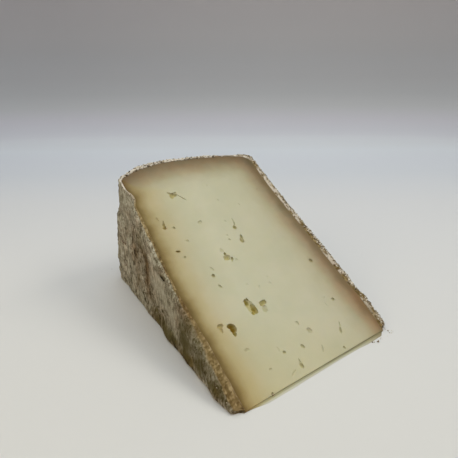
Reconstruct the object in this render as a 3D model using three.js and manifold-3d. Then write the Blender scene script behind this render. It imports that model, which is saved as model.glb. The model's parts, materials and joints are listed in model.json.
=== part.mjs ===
// A wedge of aged goat tomme with its natural rind, in millimetres.
// It lies on one of its two cut faces. The wheel's axis runs along X through the wedge's thin edge,
// Y points from that edge out to the wheel's rim, and Z points up.
import * as THREE from 'three';
import { mergeVertices, toCreasedNormals } from 'three/addons/utils/BufferGeometryUtils.js';
import Module from 'manifold-3d';

// The wheel: its rim swells out past the radius, and both flat faces dome a little at the middle.
const WHEEL_RADIUS = 100;
const RIM_SWELL = 5.4;
const RIM_CREST_X = 26;
const RIM_CREST_REACH = { left: 26, right: 46 };
const RIM_X = { left: 0.4, right: 67.6 };
const FACE_DOME = { left: 2.7, right: 3.6 };
const DOME_RADIUS = 75;
const CORNER_RADIUS = { leftLow: 4, leftHigh: 1.6, right: 3 };

// The mould's mark on the left face: a groove round the wheel that runs out towards the resting face.
const GROOVE = { radius: 88.5, halfWidth: 3.4, depth: 1.9, depthLow: 0.2 };

// The cut: the upper cut face rises at this angle, from a thin edge that the knife left blunt.
const CUT_ANGLE = THREE.MathUtils.degToRad(31.6);
const TIP_HEIGHT = 0.7;

// The middle of the face that the wedge lies on, from the wheel's axis and left face: the origin.
const MIDDLE = { x: 34.5, y: 52.9 };

// The rind's relief, as layers of bumps: the size of a bump and how far it stands up or sinks in.
const RIND_BUMPS = [
  { size: 13, height: 0.9 },
  { size: 5.5, height: 0.9 },
  { size: 2.6, height: 0.6 },
];
const GRID_STEP = 1.85;
const CREASE = THREE.MathUtils.degToRad(35);
const MERGE_GAP = 1e-4;

// The block of wheel that the wedge is cut from reaches past both cuts and past the thin edge.
const BLOCK = { low: -3, high: 60, startY: -3 };
const PRISM_MARGIN = 20;

// The eyes of the paste on the upper cut face: place across (x) and out from the thin edge (out),
// size across (wide) and outwards (long), depth below the face, and turn in degrees.
const EYES = [
  { x: 18.4, out: 85.4, wide: 4.1, long: 2.5, deep: 1.3, turn: -10 },
  { x: 8.2, out: 71.2, wide: 1.5, long: 3.8, deep: 1.1, turn: -16 },
  { x: 11.4, out: 69.5, wide: 1.2, long: 1.5, deep: 0.9, turn: 0 },
  { x: 23.2, out: 69.6, wide: 1.2, long: 1.3, deep: 0.8, turn: 0 },
  { x: 36.8, out: 64.7, wide: 1.1, long: 5.2, deep: 0.9, turn: -15 },
  { x: 36.0, out: 56.6, wide: 1.8, long: 3.2, deep: 1.2, turn: -12 },
  { x: 26.0, out: 49.6, wide: 5.2, long: 2.7, deep: 0.9, turn: -30 },
  { x: 8.1, out: 59.1, wide: 1.8, long: 1.2, deep: 1.1, turn: 0 },
  { x: 15.9, out: 45.3, wide: 1.2, long: 1.2, deep: 0.8, turn: 0 },
  { x: 22.8, out: 28.4, wide: 3.3, long: 6.6, deep: 2.6, turn: 12 },
  { x: 28.1, out: 27.4, wide: 3.2, long: 3.9, deep: 1.8, turn: 20 },
  { x: 11.5, out: 23.5, wide: 2.3, long: 4.2, deep: 2.2, turn: 18 },
  { x: 8.7, out: 26.8, wide: 2.7, long: 2.1, deep: 0.7, turn: 0 },
  { x: 36.3, out: 16.5, wide: 1.4, long: 1.7, deep: 0.9, turn: 0 },
  { x: 32.6, out: 8.6, wide: 1.2, long: 1.3, deep: 0.7, turn: 0 },
  { x: 28.2, out: 4.4, wide: 1.1, long: 3.0, deep: 0.7, turn: 4 },
  { x: 51.6, out: 8.1, wide: 1.0, long: 4.2, deep: 0.8, turn: -27 },
  { x: 57.0, out: 18.9, wide: 1.3, long: 1.3, deep: 0.8, turn: 0 },
  { x: 59.4, out: 37.2, wide: 1.5, long: 1.6, deep: 0.9, turn: 0 },
];

// The face that the wedge lies on has eyes of the same sizes, strewn by rule and clear of this spot.
const UNDER_EYES = { count: 20, margin: 9, spacing: 7, seed: 11, depthShare: 0.25 };
const REST_SPOT = { x: 34, out: 62, clear: 6 };

// An eye's wall is lumpy: how many lumps across, and how much they change its size.
const EYE_LUMPS = { across: 2.6, reach: 0.45 };
const FINE_EYE = 2.4;
const SEED_STEP = 3.7;

const wasm = await Module();
wasm.setup();

function hash(i, j, k) {
  const spread = Math.sin(i * 127.1 + j * 311.7 + k * 74.7) * 43758.5453;
  return spread - Math.floor(spread);
}

function fade(t) {
  return t * t * (3 - 2 * t);
}

// Smooth noise from 0 to 1 with one bump to a unit.
function noise(x, y, z) {
  const cell = [Math.floor(x), Math.floor(y), Math.floor(z)];
  const [u, v, w] = [fade(x - cell[0]), fade(y - cell[1]), fade(z - cell[2])];
  let sum = 0;
  for (const i of [0, 1]) {
    for (const j of [0, 1]) {
      for (const k of [0, 1]) {
        const share = (i ? u : 1 - u) * (j ? v : 1 - v) * (k ? w : 1 - w);
        sum += share * hash(cell[0] + i, cell[1] + j, cell[2] + k);
      }
    }
  }
  return sum;
}

function rindRelief(p) {
  let height = 0;
  for (const { size, height: reach } of RIND_BUMPS) {
    height += reach * (noise(p.x / size, p.y / size, p.z / size) - 0.5);
  }
  return height;
}

// How far round the wedge a point is, from 0 on the face that it lies on to 1 on the upper cut face.
function roundShare(y, z) {
  return THREE.MathUtils.clamp(Math.atan2(z, y) / CUT_ANGLE, 0, 1);
}

function leftFaceX(radius, share) {
  const flat = RIM_X.left - FACE_DOME.left * (1 - Math.tanh((radius / DOME_RADIUS) ** 2));
  const across = (radius - GROOVE.radius) / GROOVE.halfWidth;
  const depth = THREE.MathUtils.lerp(GROOVE.depthLow, GROOVE.depth, share);
  return flat + depth * Math.exp(-across * across);
}

function rightFaceX(radius) {
  return RIM_X.right + FACE_DOME.right * (1 - Math.tanh((radius / DOME_RADIUS) ** 2));
}

function rimRadius(x) {
  const reach = x < RIM_CREST_X ? RIM_CREST_REACH.left : RIM_CREST_REACH.right;
  return WHEEL_RADIUS + RIM_SWELL * (1 - ((x - RIM_CREST_X) / reach) ** 2);
}

// The wheel's profile near a corner between a face and the rim. The point lies inFace below the face
// and inRim below the rim; it moves onto the corner's arc, with the way out of the cheese there.
function roundCorner(inFace, inRim, corner) {
  if (inFace >= corner || inRim >= corner) {
    const onFace = inFace <= inRim;
    return { inFace, inRim, outOfFace: onFace ? 1 : 0, outOfRim: onFace ? 0 : 1 };
  }
  const arc = new THREE.Vector2(inFace - corner, inRim - corner).setLength(corner);
  return {
    inFace: corner + arc.x,
    inRim: corner + arc.y,
    outOfFace: -arc.x / corner,
    outOfRim: -arc.y / corner,
  };
}

// Where a point of a unit box's skin lies on the wheel. s runs across the wheel from its left face to
// its right, t from behind the thin edge out to the rim, and the height is already in millimetres.
function onWheel(s, t, height) {
  const rim = rimRadius(THREE.MathUtils.lerp(RIM_X.left, RIM_X.right, s));
  const y = THREE.MathUtils.lerp(BLOCK.startY, Math.sqrt(rim ** 2 - height ** 2), t);
  const radius = Math.hypot(y, height);
  const share = roundShare(y, height);
  const left = leftFaceX(radius, share);
  const right = rightFaceX(radius);
  const x = THREE.MathUtils.lerp(left, right, s);

  const nearLeft = s < 0.5;
  const leftCorner = THREE.MathUtils.lerp(CORNER_RADIUS.leftLow, CORNER_RADIUS.leftHigh, share ** 2);
  const corner = nearLeft ? leftCorner : CORNER_RADIUS.right;
  const profile = roundCorner(nearLeft ? x - left : right - x, rim - radius, corner);
  const inwards = nearLeft ? 1 : -1;
  const scale = (rim - profile.inRim) / radius;
  const faceX = nearLeft ? left : right;
  const point = new THREE.Vector3(faceX + inwards * profile.inFace, y * scale, height * scale);

  const raise = rindRelief(point);
  point.x -= inwards * profile.outOfFace * raise;
  point.y += (profile.outOfRim * raise * y) / radius;
  point.z += (profile.outOfRim * raise * height) / radius;
  return point;
}

function toSolid(geometry) {
  const bare = geometry.clone();
  bare.deleteAttribute('normal');
  bare.deleteAttribute('uv');
  const merged = mergeVertices(bare, MERGE_GAP);
  return new wasm.Manifold(new wasm.Mesh({
    numProp: 3,
    vertProperties: new Float32Array(merged.attributes.position.array),
    triVerts: new Uint32Array(merged.index.array),
  }));
}

function toGeometry(solid) {
  const mesh = solid.getMesh();
  const geometry = new THREE.BufferGeometry();
  geometry.setAttribute('position', new THREE.BufferAttribute(mesh.vertProperties, 3));
  geometry.setIndex(new THREE.BufferAttribute(mesh.triVerts, 1));
  return toCreasedNormals(geometry, CREASE);
}

// A block of the wheel with the rind's relief on its skin.
function wheelBlock() {
  const across = Math.round((RIM_X.right - RIM_X.left) / GRID_STEP);
  const outwards = Math.round(WHEEL_RADIUS / GRID_STEP);
  const upwards = Math.round((BLOCK.high - BLOCK.low) / GRID_STEP);
  const geometry = new THREE.BoxGeometry(1, 1, 1, across, outwards, upwards);
  const position = geometry.attributes.position;
  for (let i = 0; i < position.count; i++) {
    const height = THREE.MathUtils.lerp(BLOCK.low, BLOCK.high, position.getZ(i) + 0.5);
    const point = onWheel(position.getX(i) + 0.5, position.getY(i) + 0.5, height);
    position.setXYZ(i, point.x, point.y, point.z);
  }
  return toSolid(geometry);
}

// The space between the two cuts, as a long prism along the wheel's axis.
function cutPrism() {
  const reach = 2 * WHEEL_RADIUS;
  const shape = new THREE.Shape([
    new THREE.Vector2(0, 0),
    new THREE.Vector2(reach, 0),
    new THREE.Vector2(reach * Math.cos(CUT_ANGLE), TIP_HEIGHT + reach * Math.sin(CUT_ANGLE)),
    new THREE.Vector2(0, TIP_HEIGHT),
  ]);
  const depth = RIM_X.right - RIM_X.left + 2 * PRISM_MARGIN;
  const geometry = new THREE.ExtrudeGeometry(shape, { depth, bevelEnabled: false });
  // The shape's own x and y become Y and Z, and its depth runs along X.
  geometry.rotateY(Math.PI / 2).rotateX(Math.PI / 2);
  geometry.translate(RIM_X.left - PRISM_MARGIN, 0, 0);
  return toSolid(geometry);
}

// One eye as a lumpy ellipsoid about the origin, with its depth along Z. Eyes longer than FINE_EYE
// have more faces.
function eyeShape(eye, seed) {
  const geometry = new THREE.IcosahedronGeometry(1, Math.max(eye.wide, eye.long) > FINE_EYE ? 2 : 1);
  const position = geometry.attributes.position;
  const lumps = EYE_LUMPS.across / 2;
  for (let i = 0; i < position.count; i++) {
    const p = new THREE.Vector3().fromBufferAttribute(position, i);
    const push = 1 + EYE_LUMPS.reach * (noise(p.x * lumps + seed, p.y * lumps, p.z * lumps) - 0.5);
    position.setXYZ(i, p.x * push * eye.wide / 2, p.y * push * eye.long / 2, p.z * push * eye.deep);
  }
  return geometry.rotateZ(THREE.MathUtils.degToRad(eye.turn));
}

function upperEyes() {
  return EYES.map((eye, index) => {
    const y = eye.out * Math.cos(CUT_ANGLE);
    const z = TIP_HEIGHT + eye.out * Math.sin(CUT_ANGLE);
    return toSolid(eyeShape(eye, SEED_STEP * index).rotateX(CUT_ANGLE).translate(eye.x, y, z));
  });
}

// A repeatable run of numbers from 0 to 1.
function draws(seed) {
  let count = 0;
  return () => {
    count += 1;
    return hash(seed, count, 2 * seed + 0.5);
  };
}

// Places for the eyes of the lower face, none crowding another or the resting spot.
function underPlaces() {
  const draw = draws(UNDER_EYES.seed);
  const { count, margin, spacing } = UNDER_EYES;
  const places = [];
  while (places.length < count) {
    const x = THREE.MathUtils.lerp(RIM_X.left + margin, RIM_X.right - margin, draw());
    const out = THREE.MathUtils.lerp(margin, WHEEL_RADIUS - margin, draw());
    const crowded = places.some((place) => Math.hypot(place.x - x, place.out - out) < spacing);
    const onSpot = Math.hypot(REST_SPOT.x - x, REST_SPOT.out - out) < REST_SPOT.clear;
    if (!crowded && !onSpot) {
      places.push({ x, out, pattern: EYES[Math.floor(draw() * EYES.length)], turn: 360 * draw() });
    }
  }
  return places;
}

function underEyes() {
  return underPlaces().map(({ x, out, pattern, turn }, index) => {
    const thickness = TIP_HEIGHT + out * Math.tan(CUT_ANGLE);
    const deep = Math.min(pattern.deep, UNDER_EYES.depthShare * thickness);
    const seed = SEED_STEP * (EYES.length + index);
    return toSolid(eyeShape({ ...pattern, turn, deep }, seed).translate(x, out, 0));
  });
}

function wedgeGeometry() {
  let wedge = wheelBlock().intersect(cutPrism());
  for (const eye of [...upperEyes(), ...underEyes()]) {
    wedge = wedge.subtract(eye);
  }
  return toGeometry(wedge).translate(-MIDDLE.x, -MIDDLE.y, 0);
}

const cheese = new THREE.MeshStandardMaterial({ color: '#bcb790', roughness: 0.6, metalness: 0 });
const wedge = new THREE.Mesh(wedgeGeometry(), cheese);
wedge.name = 'cheese_wedge';

const part = new THREE.Group();
part.add(wedge);

export default part;
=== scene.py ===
"""A wedge of aged goat tomme on a pale floor: its paste with the eyes, its rind, and a few crumbs.

Lengths are millimetres until a mesh is made. X runs along the wheel's axis through the wedge's thin
edge, Y from that edge along the floor, Z up, and `out` from that edge towards the wheel's rim.
"""
import itertools
import json
import math
from types import SimpleNamespace

import bmesh
import bpy
import numpy as np
from mathutils import Matrix, Vector

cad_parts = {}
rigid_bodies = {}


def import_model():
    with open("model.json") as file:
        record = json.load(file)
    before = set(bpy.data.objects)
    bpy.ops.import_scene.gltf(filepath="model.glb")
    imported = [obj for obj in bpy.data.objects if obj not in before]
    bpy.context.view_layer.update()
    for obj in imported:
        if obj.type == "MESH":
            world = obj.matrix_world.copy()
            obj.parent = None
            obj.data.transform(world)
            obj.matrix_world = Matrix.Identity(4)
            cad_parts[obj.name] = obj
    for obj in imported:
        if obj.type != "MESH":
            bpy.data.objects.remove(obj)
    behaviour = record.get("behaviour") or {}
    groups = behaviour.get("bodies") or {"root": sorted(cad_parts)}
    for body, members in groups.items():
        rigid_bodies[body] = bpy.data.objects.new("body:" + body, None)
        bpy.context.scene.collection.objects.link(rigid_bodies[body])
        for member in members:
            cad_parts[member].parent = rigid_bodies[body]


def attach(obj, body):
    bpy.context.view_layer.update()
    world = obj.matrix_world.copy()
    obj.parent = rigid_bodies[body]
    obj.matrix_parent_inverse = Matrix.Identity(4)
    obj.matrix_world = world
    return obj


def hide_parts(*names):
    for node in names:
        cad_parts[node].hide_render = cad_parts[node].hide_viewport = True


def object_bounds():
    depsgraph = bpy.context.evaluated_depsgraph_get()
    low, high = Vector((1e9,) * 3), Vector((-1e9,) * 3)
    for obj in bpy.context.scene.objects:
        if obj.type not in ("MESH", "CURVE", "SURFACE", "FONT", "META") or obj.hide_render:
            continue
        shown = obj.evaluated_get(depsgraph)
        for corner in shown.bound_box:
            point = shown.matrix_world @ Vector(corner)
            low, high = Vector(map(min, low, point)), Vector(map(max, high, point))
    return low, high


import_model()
cad_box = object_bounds()
NODE = "cheese_wedge"
BODY = "root"
MM = 0.001

# The wheel and the cut, with the same values as the solid.
WHEEL_RADIUS = 100
RIM_SWELL = 5.4
RIM_CREST_X = 26
RIM_CREST_REACH = {"left": 26, "right": 46}
LEFT_X = 0.4
RIGHT_X = 67.6
FACE_DOME = {"left": 2.7, "right": 3.6}
DOME_RADIUS = 75
CORNER_RADIUS = {"leftLow": 4, "leftHigh": 1.6, "right": 3}
GROOVE = {"radius": 88.5, "halfWidth": 3.4, "depth": 1.9, "depthLow": 0.2}
CUT_ANGLE = math.radians(31.6)
TIP_HEIGHT = 0.7
MIDDLE = np.array([34.5, 52.9, 0.0])
CUT_WAY = np.array([0, -math.sin(CUT_ANGLE), math.cos(CUT_ANGLE)])

# The rind's thickness: at the left face low down, half way and at its corner with the rim, along the
# rim, and at the right face by place out from the thin edge; its inner corners' radii and its waver.
THICK_LEFT = {"low": 4.6, "mid": 1.9, "corner": 0.85, "to_mid": (10, 53), "to_corner": (78, 92)}
THICK_RIM = {"left": 1.1, "right": 1.8}
THICK_RIGHT = [(0, 2.9), (6, 2.5), (11, 1.9), (17, 2.1), (24, 2.6), (80, 2.6), (98, 1.9)]
INNER_CORNER = {"left": 2.0, "right": 4.5}
THICK_WAVER = [(9, 0.35), (3.1, 0.35)]

# How wide the section's tan band beside the paste is at the left face, by place.
TAN_BAND = [(4, 4.8), (16, 3.4), (26, 2.3), (33, 1.7), (45, 2.4), (60, 2.1), (78, 1.6), (94, 1.2)]

# How far dry crust stands out beyond the solid: at the right face, and at the rim by x.
GROWTH_RIGHT = [(0, 0.7), (5, 1.2), (11, 1.7), (17, 1.2), (24, 0.7), (110, 0.7)]
GROWTH_RIM = [
    (0, -0.1), (6, 0.3), (12, 1), (26, 1.1), (31, 0.1), (44, 0.3), (50, 0), (57, -0.6), (62, 0),
    (68, 0.2),
]

# Knobs and hollows of the left face: y, z, reach each way and how far they stand out.
KNOBS = [
    (62, 1.5, 6, 3, 0.5), (43, 1.5, 5, 3.5, 1.1), (27, 1.5, 5, 3, 0.6), (20, 1.5, 2.5, 2.5, 0.5),
    (9.5, 1.5, 3, 2.5, 0.9), (89, 42, 8, 9, -1.1), (96, 24, 5, 4, 0.4),
]

# The rind's bumps as layers of size and reach, the strength of its fine relief, the sizes of the
# relief's wrinkles, pebbles and cracks, how they sway, its noise, and how all is calmer near the floor.
RIND_BUMPS = [(13, 0.9), (5.5, 0.9), (2.6, 0.6)]
RELIEF = 0.75
WRINKLE = np.array([1.1, 1.1, 3.2])
FINE_WRINKLE = np.array([0.7, 0.7, 1.9])
PEBBLE = np.array([1.0, 1.0, 1.5])
CRUST_CRACK = np.array([2.1, 2.1, 6.0])
CRUST_SWAY = {"reach": 1.8, "size": 4.1}
CRUST_LAYERS = [(3.0, 0.14), (0.6, 0.12)]
CALM = {"least": 0.35, "up_to": 5}
SECTION_CRUMB = 0.8

# A dark crack high on the left face: its two ends (y, z), half its width and its depth.
CRACK = {"ends": np.array([(45.6, 27.3), (43.0, 25.8)]), "half_width": 0.5, "depth": 0.9}

# The rind's mesh: the step of its outer skin, the rows across each cut section, the coarse rows
# behind it, how far a section stands proud of the cut and dips at the paste, and its rounded edge.
SKIN_STEP = 0.37
SECTION_ROWS = 9
BACK_ROWS = 7
PROUD = 0.22
DIP = 0.2
DIP_FROM = 0.86
EDGE_RADIUS = {"least": 0.5, "most": 1.25, "by_rim": 0.45, "of_section": 0.45}
TOUCHING = 1e-6
INNER_SKIN = 0.999

# The rind's round end at the thin edge: where it starts, how far it draws back and over what length,
# and the share of the thickness that keeps its place.
TIP_ROUND = 1.6
TIP_BACK = {"most": 1.1, "reach": 6}
TIP_MIDDLE = 0.7

# The paste's mesh: the step of its cut faces, how far it reaches under the rind, and its thin edge.
PASTE_STEP = 0.62
PASTE_ROWS_UP = 8
PASTE_SHARP = math.radians(38)
PASTE_WAVES = [(17, 0.16), (6, 0.07), (2.2, 0.025)]
TUCK = {"depth": 0.35, "within": 2.0}
LIP = [
    (0, 1), (0.05, 0.95), (0.15, 0.72), (0.3, 0.36), (0.45, 0), (0.6, -0.12), (0.85, -0.04),
    (1, 0),
]
LIP_REACH = 1.2
LIP_TAPER = {"left": 9, "right": 3}

# How far in from the rind the paste's change from dark ochre to pale is followed.
FADE_REACH = 40
FADE_PACE = [(20, 1.22), (45, 1.08), (58, 1.0), (76, 0.88), (90, 0.88)]
THIN_TO_RIGHT = 0.45
PALER_TIP = 2.2

# The eyes of the upper cut face. Each is one or more overlapping pits: x, out, size across and outwards,
# depth, and turn in degrees.
EYES = [
    (18.6, 85.6, 3.4, 2.4, 1, -8), (17.8, 84.9, 1.9, 2, 0.95, 0), (21.7, 83.4, 0.42, 4.6, 0.7, 36),
    (17.3, 86.7, 1.2, 2.2, 0.45, 33), (19.7, 86.3, 1.2, 2, 0.5, -50),
    (8, 70.9, 1.5, 1.9, 1.1, -10), (8.2, 72, 1.1, 2.6, 0.8, -14), (8.6, 73.4, 0.7, 1.9, 0.4, -16),
    (11.5, 69.8, 1.2, 1.5, 0.5, 0), (22.9, 69.3, 2.2, 1.6, 0.4, 20), (6.9, 75.3, 1, 2.2, 0.25, 0),
    (37.2, 66.3, 0.6, 2.3, 0.3, -5), (36.9, 64.5, 0.8, 2.2, 0.5, -14), (36.1, 62.6, 1.5, 2, 0.9, -10),
    (35.6, 55.9, 2, 2.4, 1.1, -13), (36.3, 57.5, 1.1, 2.2, 0.8, -10),
    (24.6, 54, 1.7, 2.4, 0.35, 0), (25.3, 52.3, 1.1, 1.7, 0.9, 0), (25.2, 50.6, 3.2, 2.6, 1, 0),
    (24.1, 50.4, 0.9, 1.9, 0.8, 0), (26.8, 49.3, 1.1, 2.6, 0.8, -23), (28.2, 48.4, 1.4, 1.4, 0.25, 0),
    (8.2, 59.2, 1.9, 1, 1, -20), (9.5, 56.1, 1, 1, 0.4, 0), (15.9, 45.3, 1.5, 1.6, 0.7, 0),
    (16.9, 48, 1, 2.2, 0.3, 23), (13.7, 62.6, 1.3, 1.2, 0.25, 0), (30.7, 60, 1.2, 1.3, 0.2, 0),
    (30.6, 57.8, 1.3, 1.1, 0.28, 0), (33.7, 66.6, 1, 0.9, 0.16, 0), (36.3, 77.9, 1.3, 1.4, 0.2, 0),
    (44.7, 73.2, 1.1, 1.5, 0.2, 0), (35.7, 87.1, 1, 0.9, 0.16, 0), (58.1, 78.9, 1.4, 0.9, 0.18, 0),
    (22.6, 29, 3.4, 6.8, 0.9, 4), (22.2, 31.2, 2, 2.8, 2, 0), (23.1, 31.9, 0.8, 1.8, 0.9, 0),
    (23.7, 27.8, 2, 4.6, 1.8, 6), (23, 26.6, 2.6, 1.7, 1.7, 0),
    (28.1, 28.7, 3.2, 2, 1.1, 0), (27.3, 28.3, 1.4, 1.4, 1.2, 0), (27.5, 26.3, 2.2, 3.2, 0.5, -15),
    (12, 25.4, 3.1, 2, 2.4, -16), (12.2, 24.2, 2.5, 2.8, 2.4, -5), (11.9, 22.8, 1.4, 2.6, 1.8, -5),
    (8.4, 26.9, 2.4, 1.6, 0.75, 10), (8.1, 25.6, 1.2, 2.2, 0.7, 0), (16.2, 40.3, 1.1, 2.2, 0.45, 20),
    (26.5, 37.3, 1.2, 1.1, 0.16, 0), (30.5, 34.9, 1.3, 1.3, 0.2, 0), (35.6, 34.7, 1.2, 1.2, 0.2, 0),
    (36.2, 37.4, 1, 1, 0.16, 0), (59.4, 37.2, 1.7, 1.8, 0.7, 0), (57, 18.9, 1.5, 1.4, 0.6, 0),
    (52.4, 18.2, 0.8, 1.9, 0.18, 0), (53.6, 21, 1.5, 0.7, 0.16, 0), (38.9, 12.3, 2, 2.4, 0.5, 20),
    (36.1, 16.6, 1.3, 1.6, 0.4, 0), (12.8, 15.9, 2, 1.3, 0.28, -15), (24.7, 9.8, 1.4, 1.3, 0.6, 0),
    (23.3, 11.5, 1, 2, 0.2, 0), (32.6, 8.6, 1.3, 2, 0.55, 25), (39.2, 4.9, 0.9, 2.9, 0.28, -30),
    (52.3, 9.5, 0.7, 2.6, 0.3, -30), (51, 7.3, 1.1, 2.6, 0.6, -27), (47.7, 1.4, 1, 1.3, 0.4, 0),
    (28.2, 4.9, 0.8, 2.3, 0.35, -5), (28, 3.2, 1.6, 2, 0.7, 0), (16.8, 7.1, 1.3, 0.8, 0.28, 0),
    (23.8, 2.4, 3, 0.9, 0.2, 25), (13, 0.3, 1, 0.9, 0.6, 0),
]

# The face that the wedge lies on has eyes of the same kinds, strewn by rule and clear of one spot.
# Lumps roughen every eye.
UNDER_EYES = {"count": 34, "margin": 9, "spacing": 6, "seed": 11, "depth_share": 0.25}
REST_SPOT = {"x": 34, "out": 62, "clear": 6}
EYE_LUMPS = [(1.1, 0.34), (0.45, 0.2)]
SEED_STEP = 3.7

# Grains of dry rind that stick to its outside and to the edges of the cut: for each home how many, the
# least and most size, and how much their tones vary and are paler.
GRAIN_GROUPS = {
    "edge": (160, 0.2, 0.5, 0.8, -0.1), "skin": (160, 0.2, 0.6, 0.8, -0.1),
    "rim": (480, 0.3, 0.9, 1.8, 0.35), "right": (1050, 0.25, 0.85, 1.2, 0.12),
}
GRAIN_BAND = {"down": 1.3, "in": 2.2}
GRAIN_SEED = 5
LUMP_DETAIL = 2

# Loose crumbs. Most lie in two heaps (chance up to, then middle and spread in x and in y), the rest
# behind the rim, and a few alone (place and size).
CRUMBS = {"count": 34, "least": 0.2, "most": 0.7, "seed": 3, "tones": (0.3, 0.95), "reach": 9}
CRUMB_HEAPS = [(0.4, (67.0, 2.5), (-2.6, 0.7)), (0.7, (70.9, 0.8), (0.3, 1.4))]
BEHIND_RIM = (0.5, 2.0)
LONE_CRUMBS = [(13.0, 0.0, 0.75, 0.9), (61.8, -3.0, 0.35, 0.8)]

# The camera, from the photograph: place, heading and dip of its view, its roll, and its lens.
CAMERA = {"place": (-85.44, -121.62, 98.94), "yaw": 34.63, "pitch": 23.89, "roll": 0.33, "lens": 31.17}
HEADING = math.radians(CAMERA["yaw"])
FLOOR = {"reach": 315, "sweep": 110, "height": 420, "squareness": 5.0, "rings": 40, "sides": 144}


def hash3(i, j, k):
    spread = np.sin(i * 127.1 + j * 311.7 + k * 74.7) * 43758.5453
    return spread - np.floor(spread)


def noise(points):
    """Smooth noise from 0 to 1 with one bump to a unit."""
    cell = np.floor(points)
    part = points - cell
    part = part * part * (3 - 2 * part)
    total = np.zeros(len(points))
    for corner in itertools.product((0, 1), repeat=3):
        share = np.prod(np.where(corner, part, 1 - part), axis=1)
        total += share * hash3(*(cell + corner).T)
    return total


def layered(points, layers, shift=0):
    """Adds up noise layers, each a bump size and how far it stands up or sinks in."""
    return sum(reach * (noise(points / size + shift) - 0.5) for size, reach in layers)


def folds(points):
    """Noise that rises to 1 along thin winding lines."""
    return 1 - np.abs(2 * noise(points) - 1)


def sway(points, size, shifts):
    """A smooth wandering of points, up to half a unit each way."""
    return np.stack([noise(points / size + shift) - 0.5 for shift in shifts], axis=1)


def pebbles(points):
    """For points among scattered seeds: how far off the nearest seed is, and its number."""
    base = np.floor(points)
    near = np.full(len(points), 9.0)
    number = np.zeros(len(points))
    for step in itertools.product((-1, 0, 1), repeat=3):
        cell = base + step
        seed = cell + np.stack([hash3(*(cell + shift).T) for shift in (0.0, 17.3, 43.1)], axis=1)
        far = np.linalg.norm(points - seed, axis=1)
        number = np.where(far < near, hash3(*(cell + 71.9).T), number)
        near = np.minimum(near, far)
    return near, number


def mix(a, b, share):
    return a + (b - a) * share


def smooth(low, high, value):
    t = np.clip((value - low) / (high - low), 0, 1)
    return t * t * (3 - 2 * t)


def by_place(table, place):
    return np.interp(place, *zip(*table))


def left_face_x(radius, share):
    flat = LEFT_X - FACE_DOME["left"] * (1 - np.tanh((radius / DOME_RADIUS) ** 2))
    across = (radius - GROOVE["radius"]) / GROOVE["halfWidth"]
    return flat + mix(GROOVE["depthLow"], GROOVE["depth"], share) * np.exp(-across * across)


def right_face_x(radius):
    return RIGHT_X + FACE_DOME["right"] * (1 - np.tanh((radius / DOME_RADIUS) ** 2))


def rim_radius(x):
    reach = np.where(x < RIM_CREST_X, RIM_CREST_REACH["left"], RIM_CREST_REACH["right"])
    return WHEEL_RADIUS + RIM_SWELL * (1 - ((x - RIM_CREST_X) / reach) ** 2)


def in_wedge(x, out, share):
    """A place of the wheel's section, turned up from the lower cut face (share 0) to the upper one (1)."""
    angle = CUT_ANGLE * share
    out = out - TIP_HEIGHT * math.sin(CUT_ANGLE) * share * out / WHEEL_RADIUS
    return np.stack([x, out * np.cos(angle), TIP_HEIGHT * share + out * np.sin(angle)], axis=-1)


def thickness(out, x, share):
    """The rind's thickness at the left face, the rim and the right face."""
    waver = layered(np.stack([out, x, 40 * share], axis=-1), THICK_WAVER)
    left = mix(THICK_LEFT["low"], THICK_LEFT["mid"], smooth(*THICK_LEFT["to_mid"], out))
    left = mix(left, THICK_LEFT["corner"], smooth(*THICK_LEFT["to_corner"], out))
    rim = mix(THICK_RIM["left"], THICK_RIM["right"], x / RIGHT_X)
    right = by_place(THICK_RIGHT, out)
    return left + waver, rim + waver, right + waver


def outline(side, along, share, inset):
    """A place on the wheel's section outline, and the way out of the cheese there.

    side is 0 on the left face, 1 on the rim and 2 on the right face; along runs from 0 at the thin
    edge, or at the left corner, to 1. inset 1 gives the inner outline, where rind and paste meet.
    """
    on_rim = side == 1
    x_on_rim = mix(LEFT_X, RIGHT_X, along)
    thick = thickness(WHEEL_RADIUS * np.where(on_rim, 1, along), np.where(on_rim, x_on_rim, 0), share)
    thick_left, thick_rim, thick_right = (inset * one for one in thick)
    corner_left = mix(mix(CORNER_RADIUS["leftLow"], CORNER_RADIUS["leftHigh"], share**2),
                      INNER_CORNER["left"], inset)
    corner_right = mix(CORNER_RADIUS["right"], INNER_CORNER["right"], inset)

    rim_x = np.select([side == 0, on_rim], [LEFT_X, x_on_rim], RIGHT_X)
    rim = rim_radius(rim_x) - thick_rim + (1 - inset) * by_place(GROWTH_RIM, rim_x)
    out = np.where(on_rim, rim, along * rim)
    left = left_face_x(out, share) + thick_left
    right = right_face_x(out) - thick_right + (1 - inset) * by_place(GROWTH_RIGHT, out)
    x = np.select([side == 0, on_rim], [left, mix(left, right, along)], right)

    near_left = (side == 0) | (on_rim & (along < 0.5))
    face = np.where(near_left, left, right)
    inwards = np.where(near_left, 1, -1)
    corner = np.where(near_left, corner_left, corner_right)
    in_face, in_rim, rounded, away = round_off(inwards * (x - face), rim - out, corner)
    out_of_face, out_of_rim = np.where(rounded, -away, [~on_rim, on_rim])
    return face + inwards * in_face, rim - in_rim, -inwards * out_of_face, out_of_rim


def round_off(first, second, radius):
    """Rounds the edge of two faces, for points by how far in from each they are.

    Gives both distances then, which points moved, and their ways from the round's middle.
    """
    moved = (first < radius) & (second < radius)
    away = np.stack([first - radius, second - radius])
    away /= np.maximum(np.linalg.norm(away, axis=0), 1e-9)
    first, second = np.where(moved, radius * (1 + away), [first, second])
    return first, second, moved, away


def vertex_normals(points, triangles):
    a, b, c = points[triangles.T]
    facing = np.cross(b - a, c - a)
    total = np.zeros_like(points)
    for corner in triangles.T:
        np.add.at(total, corner, facing)
    return total / np.maximum(np.linalg.norm(total, axis=1, keepdims=True), 1e-12)


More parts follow.
